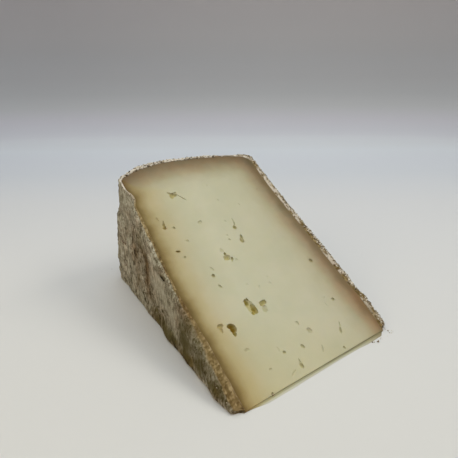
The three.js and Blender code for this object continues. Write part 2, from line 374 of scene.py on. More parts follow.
def in_scene(name, data):
    """A new object in the scene with the given mesh, lamp or camera."""
    piece = bpy.data.objects.new(name, data)
    bpy.context.scene.collection.objects.link(piece)
    return piece


def make_piece(name, points, faces, values=None):
    """A mesh object from points in the wheel's millimetres, with named numbers on its vertices."""
    mesh = bpy.data.meshes.new(name)
    mesh.from_pydata((points - MIDDLE) * MM, [], faces)
    for key, numbers in (values or {}).items():
        layer = mesh.attributes.new(key, "FLOAT", "POINT")
        layer.data.foreach_set("value", np.asarray(numbers, dtype=np.float32))
    mesh.shade_smooth()
    return in_scene(name, mesh)


def stitch(first, second):
    """Triangles between two rows of points, by number, that may differ in count."""
    triangles = []
    i = j = 0
    last_i, last_j = len(first) - 1, len(second) - 1
    while i < last_i or j < last_j:
        if j == last_j or (i < last_i and (i + 1) * last_j <= (j + 1) * last_i):
            triangles.append((first[i], first[i + 1], second[j]))
            i += 1
        else:
            triangles.append((first[i], second[j + 1], second[j]))
            j += 1
    return triangles


def rind_rings():
    """Rings round the rind, from the thin edge over the left face, the rim and the right face.

    Rows are each point's side, along, share of the turn, depth into the rind and height there; rings
    are each one's first point, how many of its points are outside, and how many it has in all.
    """
    up = np.linspace(0, 1, round(WHEEL_RADIUS / SKIN_STEP) + 1)
    over = np.linspace(0, 1, round((RIGHT_X - LEFT_X) / SKIN_STEP) + 1)[1:-1]
    stations = [*((0, along) for along in up), *((1, along) for along in over)]
    stations += [(2, along) for along in up[::-1]]
    depths = np.linspace(0, 1, SECTION_ROWS + 1)[1:]
    back = np.linspace(1, 0, BACK_ROWS + 2)[1:-1]
    rows = []
    rings = []
    for side, along in stations:
        radius = along * WHEEL_RADIUS if side != 1 else WHEEL_RADIUS + RIM_SWELL / 2
        height = TIP_HEIGHT + radius * CUT_ANGLE
        count = max(3, round(height / SKIN_STEP) + 1)
        skin = np.linspace(0, 1, count)
        share = np.concatenate([skin, np.ones(len(depths)), back, np.zeros(len(depths))])
        depth = np.concatenate([np.zeros(count), depths, np.ones(len(back)), depths[::-1]])
        rings.append((len(rows), count, len(share)))
        rows += [(side, along, *place, height) for place in zip(share, depth)]
    return np.array(rows), rings


def rind_faces(rings):
    faces = []
    for (start, count, size), (next_start, next_count, next_size) in zip(rings, rings[1:]):
        first = list(range(start, start + count))
        second = list(range(next_start, next_start + next_count))
        faces += stitch(first, second)
        rest = [first[-1], *range(start + count, start + size), first[0]]
        next_rest = [second[-1], *range(next_start + next_count, next_start + next_size), second[0]]
        for a, b, c, d in zip(rest, rest[1:], next_rest[1:], next_rest):
            faces += [(a, b, c), (a, c, d)]
    for (start, _, size), turn in ((rings[0], 1), (rings[-1], -1)):
        loop = list(range(start, start + size))
        faces += [(loop[0], loop[k], loop[k + 1])[::turn] for k in range(1, size - 1)]
    return np.array(faces)[:, ::-1]


def crust(points):
    """The fine relief of the dry outside: thin upright wrinkles, pebbles and a few cracks."""
    bent = points + CRUST_SWAY["reach"] * sway(points, CRUST_SWAY["size"], (0, 31.7, 67.3))
    wrinkle = folds(bent / WRINKLE + 5.3)
    finer = folds(bent / FINE_WRINKLE + 8.9)
    near, number = pebbles(bent / PEBBLE + 9.1)
    cracks = smooth(0.93, 1.0, folds(bent / CRUST_CRACK + 3.7))
    relief = 0.26 * (wrinkle - 0.6) + 0.26 * (finer - 0.6) + 0.16 * (0.5 - near) + 0.12 * (number - 0.5)
    return relief + layered(points, CRUST_LAYERS) - 0.3 * cracks - 0.12


def ovals(points, places):
    """How strongly points lie in each of some soft oval places of the left face."""
    for y, z, reach_y, reach_z, strength in places:
        away = ((points[:, 1] - y) / reach_y) ** 2 + ((points[:, 2] - z) / reach_z) ** 2
        yield strength * np.exp(-away)


def knobs(points):
    """How far the left face stands out at its knobs."""
    return sum(ovals(points, KNOBS)) * smooth(12, 2, points[:, 0])


def crack(points):
    """How deep in the crack of the left face a point lies, from 0 to 1."""
    first, last = CRACK["ends"]
    along = last - first
    away = points[:, 1:] - first
    part = np.clip(away @ along / (along @ along), 0, 1)
    far = np.linalg.norm(away - part[:, None] * along, axis=1)
    width = CRACK["half_width"] * (0.5 + 0.8 * np.sin(np.pi * np.clip(part, 0.05, 0.95)))
    return np.exp(-((far / width) ** 2)) * (points[:, 0] < 5)


def section_grain(points):
    """The crumbly relief of the rind's section, and each crumb's own number."""
    near, number = pebbles(points / SECTION_CRUMB + 3.3)
    return 0.34 * (0.55 - near) + 0.12 * (number - 0.5) + layered(points, [(0.5, 0.12)]), number


def rind_rows(rows):
    """Where each point of the rind lies, with the edges of its sections rounded.

    below is how far it is from the nearer cut, into how far in from the outside, and depth the same
    as a share of the rind's thickness.
    """
    side, along, share, depth, height = rows.T
    at = SimpleNamespace(side=side, left=side == 0, rim=side == 1, upper=share > 0.5)
    at.outer = outline(side, along, share, 0.0)
    at.inner = outline(side, along, share, 1.0)
    at.out = at.outer[1]
    at.thick = np.hypot(at.outer[0] - at.inner[0], at.out - at.inner[1])
    below = np.minimum(share, 1 - share) * height
    into = depth * at.thick
    places = in_wedge(at.outer[0], at.out, share)
    edge = mix(EDGE_RADIUS["least"], EDGE_RADIUS["most"], noise(places / 4.3 + 2.2))
    edge *= mix(1.0, EDGE_RADIUS["by_rim"], smooth(80, 95, np.where(at.left, at.out, 0)))
    edge = np.minimum(edge, EDGE_RADIUS["of_section"] * np.minimum(height, at.thick))
    at.below, at.into, at.edge, _ = round_off(below, into, edge)
    at.share = np.where(at.upper, 1 - at.below / height, at.below / height)
    depth = at.into / np.maximum(at.thick, 1e-9)

    # At the thin edge the rind's outer part narrows, and its inner part doesn't.
    at.from_tip = np.where(at.rim, WHEEL_RADIUS, along * WHEEL_RADIUS)
    full = np.sqrt(np.clip(1 - (1 - np.clip(at.from_tip / TIP_ROUND, 0, 1)) ** 2, 0.0025, 1))
    at.depth = TIP_MIDDLE + (depth - TIP_MIDDLE) * np.where(depth < TIP_MIDDLE, full, 1)
    at.outside = at.depth < INNER_SKIN
    return at


def rind_form(at):
    """The rind's points with the larger bumps and knobs, before its fine relief."""
    at.x = mix(at.outer[0], at.inner[0], at.depth)
    out = mix(at.out, at.inner[1], at.depth)
    back = TIP_BACK["most"] * np.clip(1 - out / TIP_BACK["reach"], 0, 1) * smooth(1.0, 0.6, at.depth)
    points = in_wedge(at.x, out + np.where(at.rim, 0, back), at.share)
    angle = CUT_ANGLE * at.share
    outwards = np.stack([at.outer[2], at.outer[3] * np.cos(angle), at.outer[3] * np.sin(angle)], axis=1)
    skin = np.clip(1 - at.depth, 0, 1)
    at.calm = mix(CALM["least"], 1.0, smooth(0, CALM["up_to"], points[:, 2]))
    points += outwards * (layered(points, RIND_BUMPS) * skin**2 * at.calm)[:, None]
    standing = knobs(points)
    points[:, 0] -= np.where(standing > 0, standing * skin**2, standing)

    # The section stands a little proud of the cut and dips where it meets the paste.
    proud = PROUD * smooth(0, 0.35, at.depth) - (PROUD + DIP) * smooth(DIP_FROM, 1.0, at.depth)
    lift = np.where(at.below < TOUCHING, np.where(at.upper, proud, np.minimum(proud, 0)), 0)
    section_way = np.where(at.upper[:, None], CUT_WAY, (0, 0, -1))
    return points + section_way * lift[:, None]


def section_share(at, points):
    """How far each point belongs to the crumbly section that the knife left, from 0 to 1."""
    rolled = np.where(at.edge & at.rim, smooth(0.9, 0.2, at.below), 0)
    section = np.where(at.below < TOUCHING, smooth(0.0, 0.25, at.into), rolled) * at.outside
    band_width = by_place(TAN_BAND, at.out) + 0.8 * (noise(points / 2.1 + 4.7) - 0.5)
    section *= np.where(at.left, smooth(band_width + 0.5, band_width - 0.5, at.thick - at.into), 1)
    at_tip = smooth(1.2, 0.3, at.from_tip) * smooth(0.1, 0.5, at.depth)
    return np.maximum(section, at_tip * at.outside)


def rind_values(at, points, section, fine, crumb, split):
    """The numbers that the rind's material reads: its tone, its section's parts and its marks."""
    clumpy = 0.75 * smooth(0.42, 0.62, noise(points / 2.4 + 12.3))
    on_rim = mix(1.0, 0.35 + clumpy, smooth(30, 52, at.x))
    on_right = clumpy * mix(0.15, 1.0, smooth(4, 18, at.out))
    cream = np.select([at.left, at.rim], [smooth(84, 97, at.out), on_rim], on_right)
    # A painted highlight along the section's ridge beside the paste on the left face, stronger at places
    # near its ends.
    ridge_highlight = np.exp(-(((at.depth - 0.82) / 0.12) ** 2)) * smooth(66, 50, at.out) * at.left * section
    ridge_highlight *= smooth(0.3, 0.65, noise(points / 3.7 + 17.9)) * mix(1.6, 0.6, smooth(12, 30, at.out))
    highlight_near_ends = 0.15 * smooth(24, 8, at.out) + 0.7 * smooth(66, 76, at.out) * smooth(98, 86, at.out)
    ridge_highlight += highlight_near_ends * at.left * section
    # The left face is darker and more olive along its upper cut edge, over its lower part.
    by_cut = at.upper * smooth(6, 1.5, at.below) * smooth(46, 30, at.out) * at.left
    dry = (1 - section) * (1 - split)
    off_foot = 1 - 0.85 * smooth(3.5, 0.5, points[:, 2]) * at.left
    # The tone by relief is partly the crust's own and partly painted shade: darker in hollows and the
    # crack, lighter on crests.
    crest_tone_and_shade = 0.5 + mix(1.5 * (fine + 0.12), 0.9 * fine, section) + 0.25 * ridge_highlight - 0.5 * split
    return {
        "crest_tone_and_shade": np.clip(crest_tone_and_shade, 0, 1),
        "section": section,
        "crumb": crumb,
        "line": smooth(0.85, 0.99, at.depth) * section * (1 - 0.7 * cream),
        "cream": cream * (0.85 + 0.3 * (noise(points / 1.9 + 6.1) - 0.5)),
        "stain": np.maximum(mark(points, "stain") * (1 - section), 0.95 * split),
        "dust": mark(points, "dust") * dry,
        "olive": np.maximum(spots(points, OLIVES), 0.7 * by_cut) * dry * off_foot,
        "brown": mark(points, "brown"),
    }


def rind_piece():
    """The rind, its points and normals, and on which points each group of grains may lie."""
    rows, rings = rind_rings()
    at = rind_rows(rows)
    points = rind_form(at)
    triangles = rind_faces(rings)
    normals = vertex_normals(points, triangles)
    section = section_share(at, points)
    grain, crumb = section_grain(points)
    rough = crust(points)
    rough = np.where(at.upper & at.left & (at.below < 2.5), np.maximum(rough, -0.2), rough)
    fine = mix(rough, grain, section)
    fade = np.clip(at.from_tip / 3, 0.3, 1) * at.outside * (1 - 0.8 * smooth(DIP_FROM, 1, at.depth))
    split = crack(points)
    points += normals * (RELIEF * fine * fade * at.calm - CRACK["depth"] * split * at.outside)[:, None]
    points[:, 2] = np.maximum(points[:, 2], 0.0)
    values = rind_values(at, points, section, fine, crumb, split)
    piece = make_piece("rind", points, triangles.tolist(), values)

    first_depth = rows[:, 3]
    band = at.upper & (at.below < GRAIN_BAND["down"]) & (at.into < GRAIN_BAND["in"]) & (first_depth < 1)
    homes = {
        "edge": at.edge & (at.left | ~at.upper),
        "skin": (first_depth == 0) & ~at.edge,
        "rim": band & at.rim,
        "right": band & (at.side == 2),
    }
    return piece, points, normals, homes


# Places on the left face that are dark, flat olive, reddish brown or dusty and pale: y, z, reach each
# way and strength. MARKS adds how each kind is strewn over the sides that the photograph hides (patch
# size, shift, noise from and to, strength), and how ragged it is (size, shift).
STAINS = [
    (61, 23, 3.2, 9, 0.8), (61, 12, 4.5, 6, 0.5), (71, 13, 4.5, 5, 0.7), (71, 27, 5, 7, 0.65),
    (60, 3, 5, 3.5, 0.5), (54, 4, 5.5, 4.5, 1.1), (46, 4, 5.5, 4.5, 1.3), (38, 4, 5, 4, 1.1),
    (30, 8, 6.5, 9, 0.65), (22, 5, 7, 7, 0.45), (67, 0.5, 2, 1.5, 0.7), (43, 1, 4, 2.5, 1.1),
    (20, 1, 3, 2, 0.4), (9, 1, 3, 2, 0.6), (13, 4, 4, 3, 0.3), (40, 10, 30, 14, 0.2),
    (64.5, 34, 3.2, 6.5, 0.6), (28.5, 16, 3.2, 5.5, 0.7), (27.5, 1.5, 6, 4.5, 1.7),
    (9.5, 3, 2.5, 2.5, 1.1), (79, 9, 4.5, 8, 0.3),
]
OLIVES = [
    (29, 9, 5.5, 8, 1.2), (20, 6, 4.5, 5.5, 1.1), (42, 3, 8, 3.5, 1), (12, 3, 5, 3.5, 1),
    (52, 3, 5, 3.5, 0.5), (42, 12, 26, 14, 0.28),
]
BROWNS = [
    (60, 21, 3, 9.5, 1.2), (63, 29, 4, 5, 0.7), (72, 26, 5, 9, 0.5), (4, 2, 6, 4, 0.3),
    (34, 14, 2, 4, 0.5), (32, 19.5, 4.5, 3, 0.6), (45, 27, 3, 2, 0.5),
]
DUSTS = [
    (50, 20.5, 6.5, 5.5, 1.5), (38, 14, 4.5, 4.5, 1.1), (84, 40, 11, 12, 0.5), (90, 15, 8, 16, 0.5),
    (78, 16, 5, 9, 0.55), (70, 4, 3, 3, 0.9),
]
MARKS = {
    "stain": (STAINS, (11, 7.7, 0.58, 0.8, 0.8), (2.3, 1.1)),
    "brown": (BROWNS, (9, 31.3, 0.6, 0.8, 0.6), None),
    "dust": (DUSTS, (14, 21.1, 0.5, 0.75, 0.8), (3.1, 4.1)),
}


def spots(points, places):
    """How strongly points lie in any of some places of the left face, with wavy edges."""
    bent = points + 3.0 * sway(points, 5.0, (3.3, 47.1, 81.9))
    return np.max(list(ovals(bent, places)), axis=0) * smooth(30, 8, points[:, 0])


def mark(points, kind):
    """How strongly a point has one kind of mark, from 0 to 1."""
    places, (size, shift, start, peak, strength), ragged = MARKS[kind]
    strewn = smooth(start, peak, noise(points / size + shift)) * strength
    total = np.maximum(spots(points, places), strewn * smooth(8, 30, points[:, 0]))
    if ragged:
        size, shift = ragged
        total *= 0.9 + 0.7 * (noise(points / size + shift) - 0.5)
    return np.clip(total, 0, 1)


def box_skin(counts):
    """The skin of a unit box as points and quads, with so many steps each way."""
    counts = np.array(counts)
    grid = np.stack(np.meshgrid(*(np.arange(n + 1) for n in counts), indexing="ij"), axis=-1).reshape(-1, 3)
    on_skin = np.any((grid == 0) | (grid == counts), axis=1)
    number = (np.cumsum(on_skin) - 1).reshape(counts + 1)
    quads = []
    for axis in range(3):
        for end in (0, counts[axis]):
            sheet = np.take(number, end, axis=axis)
            a, b, c, d = sheet[:-1, :-1], sheet[1:, :-1], sheet[1:, 1:], sheet[:-1, 1:]
            loop = np.stack([a, b, c, d], axis=-1).reshape(-1, 4)
            turned = (end == 0) != (axis == 1)
            quads.append(loop[:, ::-1] if turned else loop)
    return grid[on_skin] / counts, np.concatenate(quads)


def paste_body():
    """The paste as one closed body that reaches a little way under the rind."""
    across = round((RIGHT_X - LEFT_X) / PASTE_STEP)
    outwards = round(WHEEL_RADIUS / PASTE_STEP)
    unit, quads = box_skin((across, outwards, PASTE_ROWS_UP))
    s, t, h = unit.T
    share = 0.5 - 0.5 * np.cos(np.pi * h)

    thick_left, thick_rim, thick_right = thickness(t * WHEEL_RADIUS, s * RIGHT_X, share)
    rim = rim_radius(mix(LEFT_X, RIGHT_X, s)) - thick_rim
    out = t * rim
    left = left_face_x(out, share) + thick_left
    right = right_face_x(out) - thick_right
    x = mix(left, right, s)
    near_left = s < 0.5
    corner = np.where(near_left, INNER_CORNER["left"], INNER_CORNER["right"])
    in_face = np.where(near_left, x - left, right - x)
    in_rim = rim - out

    # A point of the square corner by the rim moves in along its own ray, onto a round one.
    v = np.stack([corner - in_face, corner - in_rim], axis=-1)
    inside = np.all(v > 0, axis=1)
    shrink = np.max(np.abs(v), axis=1) / np.maximum(np.linalg.norm(v, axis=1), 1e-9)
    v = np.where(inside[:, None], v * shrink[:, None], v)
    in_face = corner - v[:, 0] - TUCK["depth"] * (in_face < TUCK["within"])
    in_rim = corner - v[:, 1] - TUCK["depth"] * (in_rim < TUCK["within"])
    x = np.where(near_left, left + in_face, right - in_face)
    out = np.where(t > 0, rim - in_rim, 0)
    points = in_wedge(x, out, share)
    taper = smooth(0, LIP_TAPER["left"], x - left) * smooth(0, LIP_TAPER["right"], right - x)
    reach = LIP_REACH * taper * (0.85 + 0.3 * noise(points / 5.3) + 0.3 * smooth(25, 5, right - x))
    lip = by_place(LIP, share) * reach
    points[:, 1] -= np.where(t == 0, lip, 0)

    waves = layered(points, PASTE_WAVES)
    points += CUT_WAY * np.where(h == 1, waves * smooth(0, 6, out), 0)[:, None]
    points[:, 2] += np.where(h == 0, np.maximum(waves, 0), 0)
    points[:, 0] -= np.minimum(knobs(points), 0)
    return points, quads


def draws(seed):
    """A repeatable run of numbers from 0 to 1."""
    for count in itertools.count(1):
        yield float(hash3(seed, count, 2 * seed + 0.5))


def under_eyes():
    draw = draws(UNDER_EYES["seed"])
    margin = UNDER_EYES["margin"]
    places = []
    while len(places) < UNDER_EYES["count"]:
        x = mix(LEFT_X + margin, RIGHT_X - margin, next(draw))
        out = mix(margin, WHEEL_RADIUS - margin, next(draw))
        crowded = any(math.hypot(place[0] - x, place[1] - out) < UNDER_EYES["spacing"] for place in places)
        on_spot = math.hypot(REST_SPOT["x"] - x, REST_SPOT["out"] - out) < REST_SPOT["clear"]
        if not crowded and not on_spot:
            _, _, wide, long, deep, _ = EYES[int(next(draw) * len(EYES))]
            deep = min(deep, UNDER_EYES["depth_share"] * (TIP_HEIGHT + out * math.tan(CUT_ANGLE)))
            places.append((x, out, wide, long, deep, 360 * next(draw)))
    return places


def ball(detail):
    """The points and triangles of a unit ball."""
    shape = bmesh.new()
    bmesh.ops.create_icosphere(shape, subdivisions=detail, radius=1)
    points = np.array([vertex.co for vertex in shape.verts])
    faces = np.array([[vertex.index for vertex in face.verts] for face in shape.faces])
    shape.free()
    return points, faces


def eye_piece(eye, share, seed):
    """One pit as a lumpy closed body, on the upper cut face (share 1) or the lower one (0)."""
    x, out, wide, long, deep, turn = eye
    points, faces = ball(4 if max(wide, long) > 1.5 else 3)
    size = np.array([wide / 2, long / 2, deep])
    points *= size * (1 + layered(points * size, EYE_LUMPS, seed))[:, None]
    tilt = Matrix.Rotation(CUT_ANGLE * share, 3, "X") @ Matrix.Rotation(math.radians(turn), 3, "Z")
    return make_piece("eye", points @ np.array(tilt).T + in_wedge(x, out, share), faces.tolist())


def paste_piece():
    points, quads = paste_body()
    body = make_piece("paste_body", points, quads.tolist())
    keeper = bpy.data.collections.new("eyes")
    bpy.context.scene.collection.children.link(keeper)
    eyes = [*((eye, 1) for eye in EYES), *((eye, 0) for eye in under_eyes())]
    for number, (eye, share) in enumerate(eyes):
        keeper.objects.link(eye_piece(eye, share, SEED_STEP * number))
    cut = body.modifiers.new("eyes", "BOOLEAN")
    cut.operation = "DIFFERENCE"
    cut.operand_type = "COLLECTION"
    cut.collection = keeper
    cut.solver = "MANIFOLD"
    bpy.context.view_layer.update()
    carved = body.evaluated_get(bpy.context.evaluated_depsgraph_get()).to_mesh()
    points = np.array([vertex.co for vertex in carved.vertices]) / MM + MIDDLE
    faces = [list(face.vertices) for face in carved.polygons]
    for piece in [*keeper.objects, body]:
        bpy.data.objects.remove(piece)
    bpy.data.collections.remove(keeper)

    x, y, z = points.T
    radius = np.hypot(y, z)
    share = np.clip(np.arctan2(z, y) / CUT_ANGLE, 0, 1)
    thick_left, thick_rim, thick_right = thickness(radius, x, share)
    to_left = x - left_face_x(radius, share) - thick_left
    pace = by_place(FADE_PACE, radius)
    to_right = right_face_x(radius) - thick_right - x + PALER_TIP * smooth(14, 0, radius)
    to_rim = rim_radius(x) - thick_rim - radius
    top_depth = math.sin(CUT_ANGLE) * y - math.cos(CUT_ANGLE) * (z - TIP_HEIGHT)
    hollow = np.clip(np.minimum(top_depth, z) - 0.12, 0, 4)
    out = y * math.cos(CUT_ANGLE) + (z - TIP_HEIGHT) * math.sin(CUT_ANGLE)
    # Painted shade: a dark line in the crease along the thin edge, above the lip.
    crease_shade = np.exp(-(((z / TIP_HEIGHT - 0.5) / 0.42) ** 2)) * smooth(0.5, 0.1, y) * smooth(-1.05, -0.3, y)
    crease_shade *= smooth(0, 12, to_left) * mix(0.6, 1.0, smooth(0, 60, to_left))
    inwards = {
        "left": to_left * pace, "right": to_right, "rim": to_rim, "thin": y + THIN_TO_RIGHT * x, "base": y,
    }
    values = {side: np.clip(far / FADE_REACH, 0, 1) for side, far in inwards.items()}
    values |= {"hollow": np.where(out > 1.5, hollow, 0), "crease_shade": crease_shade, "lip": smooth(-0.35, -1.15, y)}
    piece = make_piece("paste", points, faces, values)
    piece.data.set_sharp_from_angle(angle=PASTE_SHARP)
    return piece


def lump_mesh(places, ways, sizes, seed):
    """Many small irregular lumps as one mesh: where each lies, its way up and its radius."""
    round_points, round_faces = ball(LUMP_DETAIL)
    random = np.random.default_rng(seed)
    points = []
    tones = []
    for number, (place, way, size) in enumerate(zip(places, ways, sizes)):
        push = 1 + 1.1 * (noise(round_points * 1.3 + number * SEED_STEP) - 0.5)
        turn = Matrix.Rotation(random.uniform(0, 2 * math.pi), 3, "Z")
        stand = np.array(Vector(way).to_track_quat("Z", "Y").to_matrix() @ turn)
        stretch = np.array([1, random.uniform(0.6, 1.0), random.uniform(0.5, 0.9)])
        points.append((round_points * push[:, None] * stretch * size) @ stand.T + place)
        tones.append(random.uniform(0, 1))
    faces = [round_faces + number * len(round_points) for number in range(len(places))]
    return np.concatenate(points), np.concatenate(faces).tolist(), np.repeat(tones, len(round_points))


def grain_piece(points, normals, homes):
    random = np.random.default_rng(GRAIN_SEED)
    clumps = 0.25 + smooth(0.45, 0.7, noise(points / 5.0 + 3.9))
    clumps += smooth(0.5, 0.7, noise(points / 1.7 + 8.3))
    picked = []
    sizes = []
    shades = []
    for name, (count, least, most, *shade) in GRAIN_GROUPS.items():
        home = np.flatnonzero(homes[name] & (points[:, 2] > 1.0))
        picked += [*random.choice(home, count, replace=False, p=clumps[home] / clumps[home].sum())]
        sizes += [*(mix(least, most, random.random(count) ** 2) / 2)]
        shades += [shade] * count
    sizes = np.array(sizes)
    places = points[picked] - normals[picked] * (0.1 * sizes)[:, None]
    lumps, faces, tones = lump_mesh(places, normals[picked], sizes, GRAIN_SEED)
    contrast, paler = np.repeat(shades, len(lumps) // len(picked), axis=0).T
    tones = np.clip(0.5 + contrast * (tones - 0.5) + paler, 0, 1)
    return make_piece("rind_grains", lumps, faces, {"tone": tones})


def crumb_piece():
    """Crumbs of rind on the floor: most by the right end of the thin edge, one on that edge."""
    random = np.random.default_rng(CRUMBS["seed"])
    low, high = (np.array(corner) / MM + MIDDLE for corner in cad_box)
    reach = CRUMBS["reach"]
    places = []
    while len(places) < CRUMBS["count"]:
        chance = random.random()
        heap = next((spreads for up_to, *spreads in CRUMB_HEAPS if chance < up_to), None)
        if heap:
            x, y = (random.normal(*spread) for spread in heap)
        else:
            x, y = random.uniform(low[0], high[0]), high[1] + abs(random.normal(*BEHIND_RIM))
        outside = x > RIGHT_X + 2.5 or y < -1.8 or y > high[1]
        if outside and low[0] - reach < x < high[0] + reach and low[1] - reach < y < high[1] + reach:
            places.append((x, y))
    sizes = mix(CRUMBS["least"], CRUMBS["most"], random.random(len(places)) ** 2.5) / 2
    centres = [(*place, 0.6 * size) for place, size in zip(places, sizes)]
    centres += [place for *place, _ in LONE_CRUMBS]
    sizes = [*sizes, *(size / 2 for *_, size in LONE_CRUMBS)]
    lumps, faces, tones = lump_mesh(centres, [(0, 0, 1)] * len(sizes), sizes, CRUMBS["seed"])
    lumps[:, 2] = np.maximum(lumps[:, 2], 0.0)
    return make_piece("crumbs", lumps, faces, {"tone": mix(*CRUMBS["tones"], tones)})


def tint(*seen):
    """A colour as seen on a screen, 0 to 255, in the linear numbers that the shader takes."""
    share = np.array(seen) / 255
    linear = np.where(share <= 0.04045, share / 12.92, ((share + 0.055) / 1.055) ** 2.4)
    return (*linear.tolist(), 1)


def ramp_stops(*stops):
    """Ramp stops of a place and a colour as seen on a screen, made linear."""
    return [(place, *tint(*colour)) for place, *colour in stops]


class Shader:
    """A material with short calls for its nodes."""

    def __init__(self, name, roughness, specular, others=None):
        self.material = bpy.data.materials.new(name)
        self.material.use_nodes = True
        self.tree = self.material.node_tree
        self.surface = self.tree.nodes["Principled BSDF"].inputs
        self.place = self.add("TexCoord", {}).outputs["Object"]
        even = {"Roughness": roughness, "Specular IOR Level": specular, **(others or {})}
        for key, value in even.items():
            self.surface[key].default_value = value

    def put(self, socket, value):
        if isinstance(value, bpy.types.NodeSocket):
            self.tree.links.new(value, socket)
        else:
            socket.default_value = value

    def add(self, kind, inputs, **settings):
        node = self.tree.nodes.new("ShaderNode" + kind)
        for key, value in settings.items():
            setattr(node, key, value)
        for key, value in inputs.items():
            self.put(node.inputs[key], value)
        return node

    def value(self, name):
        return self.add("Attribute", {}, attribute_name=name).outputs["Fac"]

    def noise(self, size, detail=3, stretch=None):
        """Noise with bumps of a size in millimetres."""
        place = self.place
        if stretch:
            place = self.add("Mapping", {"Vector": place, "Scale": stretch}).outputs["Vector"]
        inputs = {"Vector": place, "Scale": 1 / (size * MM), "Detail": detail, "Roughness": 0.55}
        return self.add("TexNoise", inputs).outputs["Fac"]

    def math(self, operation, a, b, clamp=False):
        return self.add("Math", {0: a, 1: b}, operation=operation, use_clamp=clamp).outputs["Value"]

    def plus(self, a, b, clamp=False):
        return self.math("ADD", a, b, clamp)

    def times(self, a, b):
        return self.math("MULTIPLY", a, b)

    def spread(self, value, low, high, to_low=0, to_high=1):
        """A value's range from low to high spread over another, and held at its ends."""
        inputs = {"Value": value, "From Min": low, "From Max": high, "To Min": to_low, "To Max": to_high}
        return self.add("MapRange", inputs).outputs["Result"]

    def swing(self, noise, reach, low=0.3):
        """Noise as a swing about 0 that reaches so far each way."""
        return self.spread(noise, low, 1 - low, -reach, reach)

    def ramp(self, value, stops):
        """A colour by value; each stop is a place from 0 to 1, red, green and blue."""
        node = self.add("ValToRGB", {"Fac": value})
        elements = node.color_ramp.elements
        for _ in stops[2:]:
            elements.new(0.5)
        for element, (place, *colour) in zip(elements, stops):
            element.position = place
            element.color = (*colour[:3], 1)
        return node.outputs["Color"]

    def blend(self, share, a, b, kind="MIX"):
        inputs = {"Factor": share, 6: a, 7: b}
        return self.add("Mix", inputs, data_type="RGBA", blend_type=kind).outputs[2]

    def tinted(self, colour, tint, share=1):
        return self.blend(share, colour, tint, "MULTIPLY")

    def coat(self, under, name, strength, colour):
        """A colour laid over another by the number of this name."""
        return self.blend(self.times(self.value(name), strength), under, colour)

    def finish(self, colour, height, strength, reach):
        """The material with its colour, and its bumps by height, strength and reach (mm)."""
        bump = {"Height": height, "Strength": strength, "Distance": reach * MM}
        self.put(self.surface["Normal"], self.add("Bump", bump).outputs["Normal"])
        self.put(self.surface["Base Color"], colour)
        return self.material


# The pale paste, and how much of it is left at some distances (mm) in from each side of the rind, from
# the thin edge, and down in an eye, where its own ochre deepens with painted shade: red, green and blue.
PASTE_COLOUR = tint(200, 195, 166)
PASTE_GLOW = {"Subsurface Weight": 0.3, "Subsurface Radius": (1.0, 0.7, 0.3), "Subsurface Scale": 1.3 * MM}
FADES = {
    "left": [
        (0, 0.26, 0.16, 0.02), (0.8, 0.37, 0.255, 0.08), (2.2, 0.57, 0.44, 0.23), (3.7, 0.73, 0.61, 0.41),
        (5.2, 0.83, 0.725, 0.55), (7.5, 0.89, 0.8, 0.65), (11, 0.94, 0.89, 0.81), (16, 0.97, 0.96, 0.93),
        (24, 1, 1, 1),
    ],
    "right": [
        (0, 0.32, 0.24, 0.15), (1.5, 0.325, 0.245, 0.16), (3, 0.42, 0.335, 0.26), (4.5, 0.55, 0.465, 0.385),
        (6, 0.635, 0.55, 0.485), (7.5, 0.72, 0.65, 0.58), (10, 0.83, 0.78, 0.73), (14, 0.91, 0.89, 0.87),
        (20, 0.95, 0.94, 0.93), (38, 1, 1, 1),
    ],
    "rim": [
        (0, 0.32, 0.235, 0.165), (1.5, 0.365, 0.265, 0.185), (3.5, 0.45, 0.345, 0.26),
        (5.5, 0.565, 0.475, 0.39), (7.5, 0.68, 0.6, 0.52), (10, 0.8, 0.76, 0.71), (14, 0.93, 0.92, 0.9),
        (20, 1, 1, 1),
    ],
    "thin": [(0, 1.0, 0.95, 0.80), (14, 1.0, 0.97, 0.88), (35, 1, 1, 1)],
}
HOLLOW_REACH = 2.2
HOLLOW_TINT_AND_SHADE_STOPS = [
    (0.0, 1, 1, 1), (0.14, 0.88, 0.87, 0.78), (0.34, 0.90, 0.82, 0.54), (0.68, 0.76, 0.65, 0.23),
    (1.0, 0.82, 0.56, 0.13),
]
MOTTLE = [(0.35, 0.95, 0.96, 0.94), (0.65, 1.03, 1.02, 1.03)]
FADE_HUES = [(0.38, 1.08, 0.97, 0.88), (0.62, 0.97, 1.0, 0.97)]
FADE_WAVER = 0.6
LOW_RIGHT_TINT = (1.14, 0.94, 0.8, 1)
# Painted shade in the crease along the thin edge.
CREASE_SHADE_COLOUR = tint(130, 122, 82)
# The lip under the thin edge is painted as the soft shadow and yellow glow that the edge casts on the
# floor, with painted shadow towards its right end.
LIP_SHADOW_GLOW_COLOUR = tint(213, 207, 181)
LIP_RIGHT_SHADOW_TINT = (0.72, 0.68, 0.55, 1)


